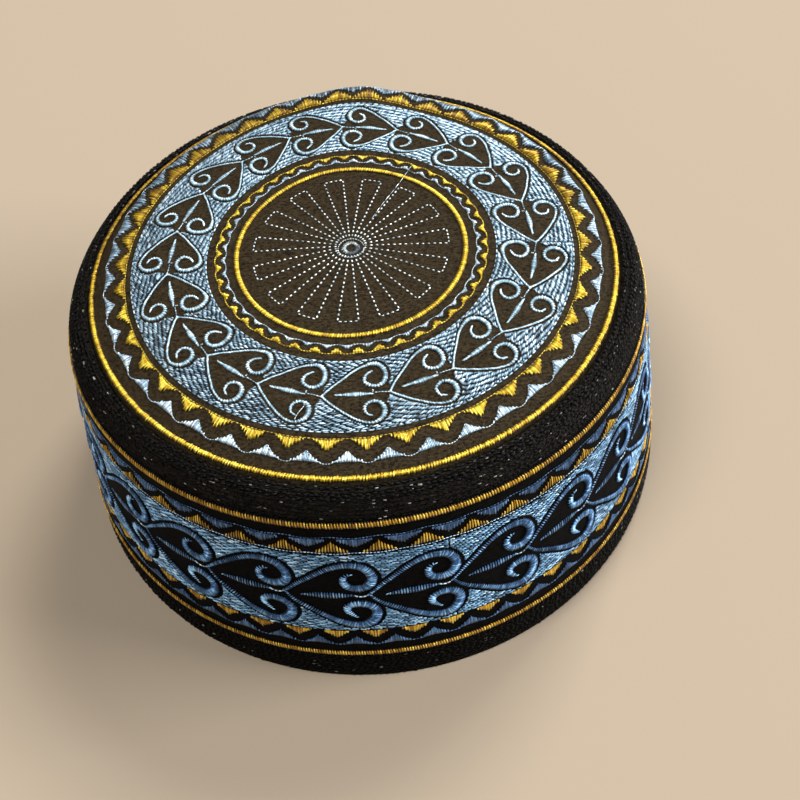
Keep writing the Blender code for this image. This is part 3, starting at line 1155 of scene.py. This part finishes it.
# Below the seam: rows of small threads painted light as glints, and rows of thick stitches
EDGE_GLINTS = np.array([1.2, 4.3, 7.2])
EDGE_THICK_ROWS = np.array([1.0, 2.9, 3.9])
HEM_GLINTS = np.array([2.6, 5.4, 8.0])


def edge_stitches():
    black = Needle("edge_stitches", profile_chart, 71, "black_thread")
    first, last = cap.knots[CROWN_SEAM], cap.knots[SIDE_SEAM]
    machine_rows(black, np.arange(first + 0.6, last - 0.3, 0.6), 1.5, 0.72, 0.36, tone=0.45, spread=0.15)
    machine_rows(black, first + EDGE_GLINTS, 3.4, 0.12, 0.22, tone=1.1, spread=0.80)
    machine_rows(black, first + EDGE_THICK_ROWS, 1.7, 0.90, 0.75, tone=0.40, spread=0.14, thickness=0.42)
    black.finish()


def hem_stitches():
    black = Needle("hem_stitches", profile_chart, 72, "black_thread")
    first, last = cap.knots[HEM_SEAM], cap.end
    machine_rows(black, np.arange(first + 0.7, last - 0.7, 0.8), 1.8, 0.72, 0.38, tone=0.35, spread=0.15)
    machine_rows(black, first + HEM_GLINTS, 4.0, 0.11, 0.22, tone=0.9, spread=0.60)
    black.finish()


# Stage

FLOOR_COLOUR = (0.238, 0.191, 0.140, 1.0)
SKY_COLOUR = (0.95, 0.97, 1.0, 1.0)
SKY_STRENGTH = 0.24

# Area lights: name, place, the place they aim at, size, power and colour
LIGHTS = (
    ("key", (2.50, 3.70, 4.95), (0.0, 0.0, 0.05), 2.2, 600.0, (1.0, 0.99, 0.97)),
    ("side", (5.15, -0.5, 1.75), (0.0, 0.0, 0.04), 2.8, 760.0, (0.92, 0.96, 1.0)),
    ("fill", (-2.40, -1.2, 6.40), (0.0, 0.0, 0.04), 2.6, 500.0, (1.0, 0.99, 0.97)),
)


def floor():
    bpy.ops.mesh.primitive_plane_add(size=4.0, location=(0.0, 0.0, 0.0))
    plane = bpy.context.object
    plane.name = "floor"
    nodes = Nodes("floor")
    nodes.shader.inputs["Base Color"].default_value = FLOOR_COLOUR
    nodes.finish(roughness=1.0, specular_ior_level=0.1)
    plane.data.materials.append(nodes.material)


def lights():
    for name, place, aim, size, power, colour in LIGHTS:
        data = bpy.data.lights.new(name, "AREA")
        data.size = size
        data.energy = power
        data.color = colour
        light = bpy.data.objects.new(name, data)
        light.location = place
        light.rotation_euler = (Vector(aim) - Vector(place)).to_track_quat("-Z", "Y").to_euler()
        bpy.context.scene.collection.objects.link(light)
    world = bpy.data.worlds.new("world")
    world.use_nodes = True
    background = world.node_tree.nodes["Background"]
    background.inputs["Color"].default_value = SKY_COLOUR
    background.inputs["Strength"].default_value = SKY_STRENGTH
    bpy.context.scene.world = world
    bpy.context.scene.view_settings.view_transform = "Standard"


def camera():
    """Looks down at the cap's middle, turned so that the aim falls on its place in the picture."""
    backwards = Vector((0.0, -math.cos(CAMERA_ELEVATION), math.sin(CAMERA_ELEVATION)))
    upwards = backwards.cross(Vector((1.0, 0.0, 0.0)))
    level = Matrix(((1.0, 0.0, 0.0), upwards, backwards))
    middle = FRAME_PIXELS / 2.0
    aim = Vector(((AIM_PIXEL[0] - middle) / FOCAL_PIXELS, (middle - AIM_PIXEL[1]) / FOCAL_PIXELS, -1.0))
    turn = Vector((0.0, 0.0, -1.0)).rotation_difference(aim).to_matrix()
    roll = Matrix.Rotation(CAMERA_ROLL, 3, "Z")
    to_camera = turn @ roll @ level
    data = bpy.data.cameras.new("camera")
    data.sensor_width = SENSOR_WIDTH
    data.lens = FOCAL_PIXELS * SENSOR_WIDTH / FRAME_PIXELS
    eye = bpy.data.objects.new("camera", data)
    place = Vector((0.0, 0.0, AIM_HEIGHT)) + backwards * CAMERA_DISTANCE
    eye.matrix_world = Matrix.Translation(place) @ to_camera.transposed().to_4x4()
    bpy.context.scene.collection.objects.link(eye)
    bpy.context.scene.camera = eye


cloth_pieces()
crown_ground()
crown_hearts()
crown_rings()
medallion()
wall_ground()
wall_hearts()
wall_rings()
edge_stitches()
hem_stitches()
floor()
lights()
camera()
